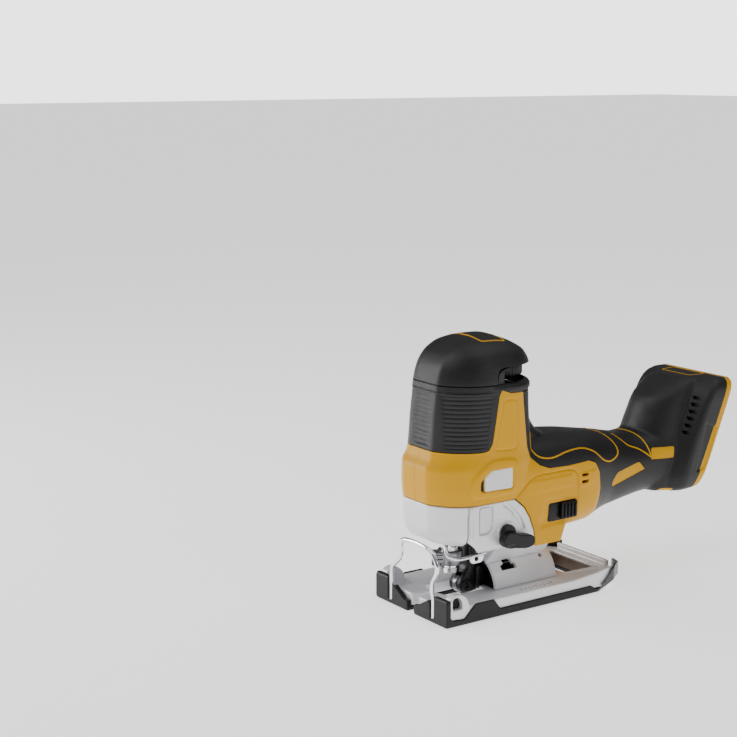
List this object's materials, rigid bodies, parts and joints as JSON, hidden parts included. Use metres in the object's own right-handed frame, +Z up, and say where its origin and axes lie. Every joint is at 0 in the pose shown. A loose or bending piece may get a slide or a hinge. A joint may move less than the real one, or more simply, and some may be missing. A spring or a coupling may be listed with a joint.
{
  "type": "cordless jigsaw",
  "caption": "Cordless barrel-grip jigsaw with a tilting shoe, wire guard, orbital lever, slide switch and an open battery foot.",
  "frame": {"origin": "centre of the sole on the work surface", "axes": "+Z up, the blade end faces -Y, +X is the tool's left side with the slide switch"},
  "size_m": [0.0872, 0.2779, 0.192],
  "materials": {
    "yellow_plastic": "satin moulded",
    "black_rubber": "matt overmould",
    "black_plastic": "fine texture",
    "dark_plastic": "moulded",
    "silver_plastic": "satin",
    "smoky_plastic": "smoky translucent",
    "cast_aluminium": "fine cast, satin lacquer",
    "steel": "machined",
    "bright_steel": "polished",
    "black_metal": "blackened",
    "brass": "plain"
  },
  "bodies": {
    "body": {"housing_left": "yellow_plastic", "housing_right": "yellow_plastic", "grip_left": "black_rubber", "grip_right": "black_rubber", "barrel_sleeve": "black_rubber", "top_cap": "black_rubber", "front_cover": "cast_aluminium", "gear_case": "cast_aluminium", "badge_left": "silver_plastic", "badge_right": "silver_plastic", "motor_stator": "steel", "motor_end_plate": "dark_plastic", "front_bearing": "bright_steel", "rear_bearing": "bright_steel", "gear_bearing": "bright_steel", "gear_plate": "cast_aluminium", "crosshead_frame": "cast_aluminium", "lower_bush": "brass", "upper_bush": "brass", "fork_pin": "bright_steel", "hook_wire": "bright_steel", "bevel_bolt": "bright_steel", "bevel_nut": "steel", "switch_track": "black_plastic", "switch_unit": "dark_plastic", "dial_potentiometer": "dark_plastic", "controller_module": "dark_plastic", "led_lens": "smoky_plastic", "battery_plate": "black_plastic", "terminal_block": "dark_plastic", "positive_blade": "brass", "negative_blade": "brass", "housing_screw_1": "steel", "housing_screw_2": "steel", "housing_screw_3": "steel", "housing_screw_4": "steel"},
    "rotor": {"motor_rotor": "steel", "pinion_shaft": "steel", "cooling_fan": "dark_plastic"},
    "gear": {"drive_gear": "steel", "gear_shaft": "bright_steel", "crank_pin": "bright_steel"},
    "plunger": {"plunger": "bright_steel", "yoke": "steel", "blade_clamp": "bright_steel"},
    "counterweight": {"counterweight": "steel"},
    "clamp_lever": {"clamp_lever": "bright_steel"},
    "roller_fork": {"roller_fork": "black_metal", "roller_pin": "bright_steel"},
    "guide_roller": {"guide_roller": "steel"},
    "orbital_lever": {"orbital_lever": "black_plastic", "orbital_shaft": "steel"},
    "slide_switch": {"slide_switch": "black_plastic"},
    "speed_dial": {"speed_dial": "black_plastic"},
    "shoe": {"shoe_plate": "cast_aluminium", "sole_cover": "black_plastic", "saddle_bracket": "cast_aluminium", "corner_clip_left": "smoky_plastic", "corner_clip_right": "smoky_plastic", "wire_guard": "bright_steel"}
  },
  "joints": [
    {"name": "rotor_spin", "type": "hinge", "parent": "body", "child": "rotor", "pos_m": [0, 0.02, 0.077], "axis": [0, 1, 0], "continuous": true},
    {"name": "gear_spin", "type": "hinge", "parent": "body", "child": "gear", "pos_m": [0, -0.0255, 0.1035], "axis": [0, 1, 0], "continuous": true},
    {"name": "plunger_slide", "type": "slide", "parent": "body", "child": "plunger", "axis": [0, 0, 1], "range_m": [0, 0.026]},
    {"name": "counterweight_slide", "type": "slide", "parent": "body", "child": "counterweight", "axis": [0, 0, 1], "range_m": [-0.013, 0]},
    {"name": "clamp_release", "type": "hinge", "parent": "plunger", "child": "clamp_lever", "pos_m": [0, -0.046, 0.0345], "axis": [0, 0, 1], "range_deg": [0, 60], "stiffness_Nm_per_rad": 0.05},
    {"name": "fork_swing", "type": "hinge", "parent": "body", "child": "roller_fork", "pos_m": [0, -0.0305, 0.065], "axis": [-1, 0, 0], "range_deg": [-1, 3.5]},
    {"name": "roller_spin", "type": "hinge", "parent": "roller_fork", "child": "guide_roller", "pos_m": [0, -0.0365, 0.013], "axis": [1, 0, 0], "continuous": true},
    {"name": "orbital_select", "type": "hinge", "parent": "body", "child": "orbital_lever", "pos_m": [0.041, -0.025, 0.0575], "axis": [1, 0, 0], "range_deg": [0, 90]},
    {"name": "switch_slide", "type": "slide", "parent": "body", "child": "slide_switch", "axis": [0, -1, 0], "range_m": [0, 0.008]},
    {"name": "dial_turn", "type": "hinge", "parent": "body", "child": "speed_dial", "pos_m": [0, -0.013, 0.1655], "axis": [0, 0, 1], "range_deg": [0, 270]},
    {"name": "shoe_bevel", "type": "hinge", "parent": "body", "child": "shoe", "pos_m": [0, 0, 0.01], "axis": [0, 1, 0], "range_deg": [-45, 45]}
  ],
  "couplings": [
    {"joint": "gear_spin", "follows": "rotor_spin", "ratio": -0.15217},
    {"joint": "counterweight_slide", "follows": "plunger_slide", "ratio": -0.5}
  ]
}
